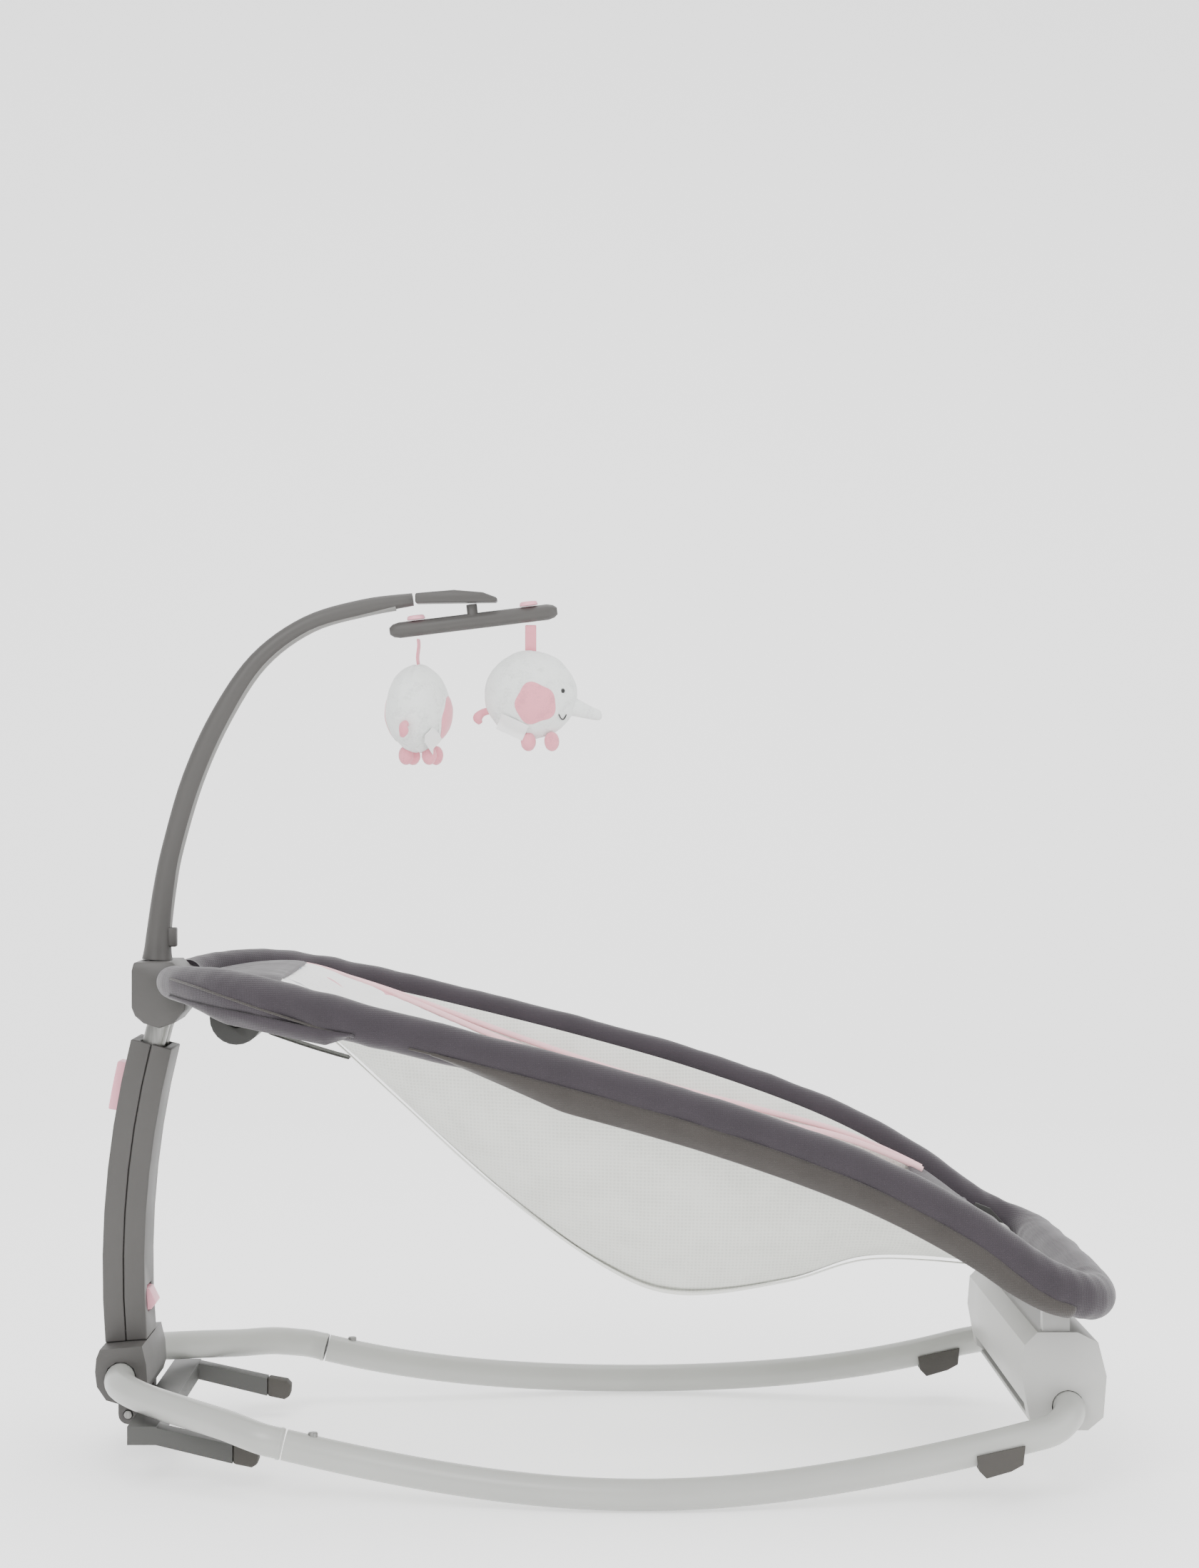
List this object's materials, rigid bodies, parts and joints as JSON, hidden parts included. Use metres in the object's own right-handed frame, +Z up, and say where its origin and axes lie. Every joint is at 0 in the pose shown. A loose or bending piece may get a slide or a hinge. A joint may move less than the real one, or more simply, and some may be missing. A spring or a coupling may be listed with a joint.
{
  "type": "baby rocker seat",
  "caption": "Baby rocker with a reclining mesh seat on curved tube rockers, a telescoping rear leg, a folding stand and a toy arch.",
  "frame": {"origin": "under the middle of the object's box, on the surface the rockers stand on", "axes": "+X towards the foot end, +Y towards the left-hand side, +Z up"},
  "size_m": [0.8106, 0.4578, 0.7095],
  "materials": {
    "tube_white": "off-white powder coat, satin",
    "shell_white": "white moulded plastic, satin",
    "leg_grey": "warm mid grey moulded plastic, fine texture",
    "steel": "plain bright steel tube and pins",
    "rubber": "dark grey-brown rubber, matt",
    "stand_grey": "dark grey moulded plastic",
    "button_pink": "pastel pink plastic, smooth",
    "black_plastic": "black moulded plastic",
    "rail_cloth": "dark purple-grey woven cover",
    "mesh_cloth": "ivory spacer mesh, slightly see-through",
    "liner_cloth": "white padded cotton liner with pale shapes",
    "webbing": "black and grey webbing",
    "plush": "pale short-pile plush"
  },
  "bodies": {
    "base": {"rocker_tube_right": "tube_white", "rocker_tube_left": "tube_white", "rocker_rear_tube_right": "tube_white", "rocker_rear_tube_left": "tube_white", "front_pad_right": "rubber", "front_pad_left": "rubber", "front_housing": "shell_white", "housing_cover": "shell_white", "seat_pivot_pin_right": "steel", "seat_pivot_pin_left": "steel", "leg_foot": "leg_grey", "leg_front_shell": "leg_grey", "leg_rear_shell": "leg_grey", "kickstand_pin": "steel"},
    "seat": {"head_hub": "leg_grey", "inner_tube_right": "steel", "inner_tube_left": "steel", "seat_rail_right": "steel", "seat_rail_left": "steel", "seat_foot_tube": "steel", "rail_pad_right": "rail_cloth", "rail_pad_left": "rail_cloth", "foot_pad": "rail_cloth", "pivot_bracket_right": "black_plastic", "pivot_bracket_left": "black_plastic", "seat_hammock": "mesh_cloth", "seat_liner": "liner_cloth", "crotch_strap": "webbing", "waist_strap_right": "webbing", "waist_strap_left": "webbing", "harness_buckle": "black_plastic", "vibration_unit": "black_plastic", "battery_door": "black_plastic", "unit_strap": "webbing"},
    "kickstand": {"kickstand_frame": "stand_grey", "kickstand_tip_right": "rubber", "kickstand_tip_left": "rubber"},
    "height_key": {"height_button": "button_pink"},
    "fold_key": {"fold_button": "button_pink"},
    "snap_key_right": {"snap_button_right": "steel"},
    "snap_key_left": {"snap_button_left": "steel"},
    "power_key": {"power_button": "leg_grey"},
    "arch": {"toy_arch": "leg_grey", "arch_plug": "leg_grey", "arch_head": "leg_grey"},
    "latch": {"arch_latch": "leg_grey"},
    "bar": {"toy_bar": "leg_grey", "toy_knob_foot": "button_pink", "toy_knob_head": "button_pink"},
    "toy_foot": {"plush_toy_foot": "plush"},
    "toy_head": {"plush_toy_head": "plush"}
  },
  "joints": [
    {"name": "seat_recline", "type": "hinge", "parent": "base", "child": "seat", "pos_m": [0.35775, 0, 0.1515], "axis": [0, 1, 0], "range_deg": [0, 10.5]},
    {"name": "kickstand_fold", "type": "hinge", "parent": "base", "child": "kickstand", "pos_m": [-0.37875, 0, 0.037], "axis": [0, 1, 0], "range_deg": [0, 95]},
    {"name": "height_button_press", "type": "slide", "parent": "base", "child": "height_key", "axis": [0.9811, 0, -0.1934], "range_m": [0, 0.004], "stiffness_N_per_m": 900},
    {"name": "fold_button_press", "type": "slide", "parent": "base", "child": "fold_key", "axis": [-1, 0, 0], "range_m": [0, 0.003], "stiffness_N_per_m": 900},
    {"name": "snap_button_press_right", "type": "slide", "parent": "base", "child": "snap_key_right", "axis": [0, 0, -1], "range_m": [0, 0.003], "stiffness_N_per_m": 900},
    {"name": "snap_button_press_left", "type": "slide", "parent": "base", "child": "snap_key_left", "axis": [0, 0, -1], "range_m": [0, 0.003], "stiffness_N_per_m": 900},
    {"name": "power_button_press", "type": "slide", "parent": "seat", "child": "power_key", "axis": [0, 1, 0], "range_m": [0, 0.0015], "stiffness_N_per_m": 900},
    {"name": "arch_lift", "type": "slide", "parent": "seat", "child": "arch", "axis": [0, 0, 1], "range_m": [0, 0.06]},
    {"name": "arch_latch_press", "type": "slide", "parent": "arch", "child": "latch", "axis": [-1, 0, 0], "range_m": [0, 0.0025], "stiffness_N_per_m": 900},
    {"name": "toy_bar_spin", "type": "hinge", "parent": "arch", "child": "bar", "pos_m": [-0.10025, 0, 0.684], "axis": [-0.1219, 0, 0.9925], "continuous": true},
    {"name": "toy_swing_foot", "type": "hinge", "parent": "bar", "child": "toy_foot", "pos_m": [-0.05277, 0, 0.68298], "axis": [1, 0, 0], "range_deg": [-30, 30]},
    {"name": "toy_swing_head", "type": "hinge", "parent": "bar", "child": "toy_head", "pos_m": [-0.14607, 0, 0.67152], "axis": [1, 0, 0], "range_deg": [-30, 30]}
  ]
}
